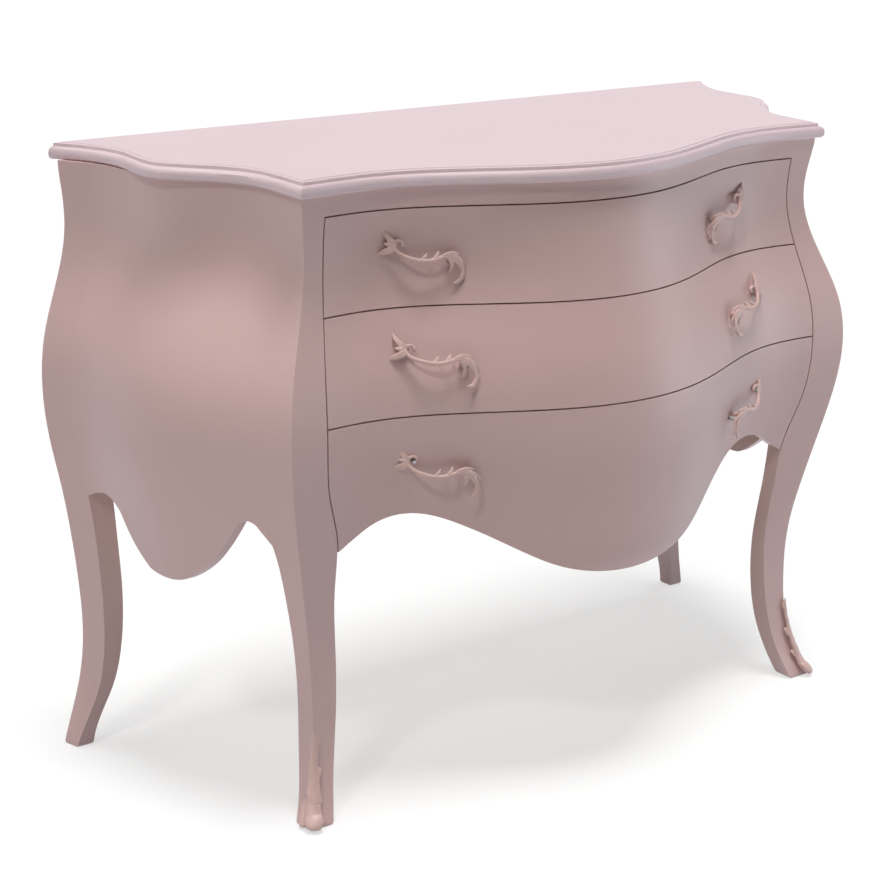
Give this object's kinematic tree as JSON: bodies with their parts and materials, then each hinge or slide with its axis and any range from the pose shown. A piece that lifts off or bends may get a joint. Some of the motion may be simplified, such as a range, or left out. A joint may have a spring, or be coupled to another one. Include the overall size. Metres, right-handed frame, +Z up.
{
  "type": "chest of drawers",
  "caption": "Painted bombe chest with a serpentine front, scalloped aprons, cabriole legs and sliding drawers with cast scroll pulls.",
  "frame": {"origin": "centre of the bounding box at floor level", "axes": "+Z up, +X to the viewer's right as the viewer faces the drawers, the drawers open towards -Y"},
  "size_m": [1.2454, 0.5302, 0.85],
  "materials": {
    "painted_top": "satin paint",
    "painted_wood": "satin paint",
    "painted_casting": "satin paint over cast metal",
    "bare_wood": "plain sanded",
    "steel": "plain"
  },
  "bodies": {
    "carcase": {"top_board": "painted_top", "leg_front_left": "painted_wood", "leg_front_right": "painted_wood", "leg_back_left": "painted_wood", "leg_back_right": "painted_wood", "side_panel_left": "painted_wood", "side_panel_right": "painted_wood", "front_top_rail": "painted_wood", "divider_upper": "bare_wood", "divider_lower": "bare_wood", "front_bottom_rail": "bare_wood", "back_panel": "bare_wood", "back_top_rail": "bare_wood", "back_rail_upper": "bare_wood", "back_rail_lower": "bare_wood", "bottom_board": "bare_wood", "runner_top_left": "bare_wood", "runner_top_right": "bare_wood", "runner_middle_left": "bare_wood", "runner_middle_right": "bare_wood", "runner_bottom_left": "bare_wood", "runner_bottom_right": "bare_wood", "kicker_left": "bare_wood", "kicker_right": "bare_wood", "sabot_left": "painted_casting", "sabot_right": "painted_casting"},
    "top_drawer": {"top_drawer_front": "painted_wood", "top_drawer_handle_left": "painted_casting", "top_drawer_handle_right": "painted_casting", "top_drawer_handle_screws": "steel", "top_drawer_side_left": "bare_wood", "top_drawer_side_right": "bare_wood", "top_drawer_back": "bare_wood", "top_drawer_bottom": "bare_wood"},
    "middle_drawer": {"middle_drawer_front": "painted_wood", "middle_drawer_handle_left": "painted_casting", "middle_drawer_handle_right": "painted_casting", "middle_drawer_handle_screws": "steel", "middle_drawer_side_left": "bare_wood", "middle_drawer_side_right": "bare_wood", "middle_drawer_back": "bare_wood", "middle_drawer_bottom": "bare_wood"},
    "bottom_drawer": {"bottom_drawer_front": "painted_wood", "bottom_drawer_handle_left": "painted_casting", "bottom_drawer_handle_right": "painted_casting", "bottom_drawer_handle_screws": "steel", "bottom_drawer_side_left": "bare_wood", "bottom_drawer_side_right": "bare_wood", "bottom_drawer_back": "bare_wood", "bottom_drawer_bottom": "bare_wood"}
  },
  "joints": [
    {"name": "top_drawer_slide", "type": "slide", "parent": "carcase", "child": "top_drawer", "axis": [0, -1, 0], "range_m": [0, 0.22]},
    {"name": "middle_drawer_slide", "type": "slide", "parent": "carcase", "child": "middle_drawer", "axis": [0, -1, 0], "range_m": [0, 0.22]},
    {"name": "bottom_drawer_slide", "type": "slide", "parent": "carcase", "child": "bottom_drawer", "axis": [0, -1, 0], "range_m": [0, 0.22]}
  ]
}
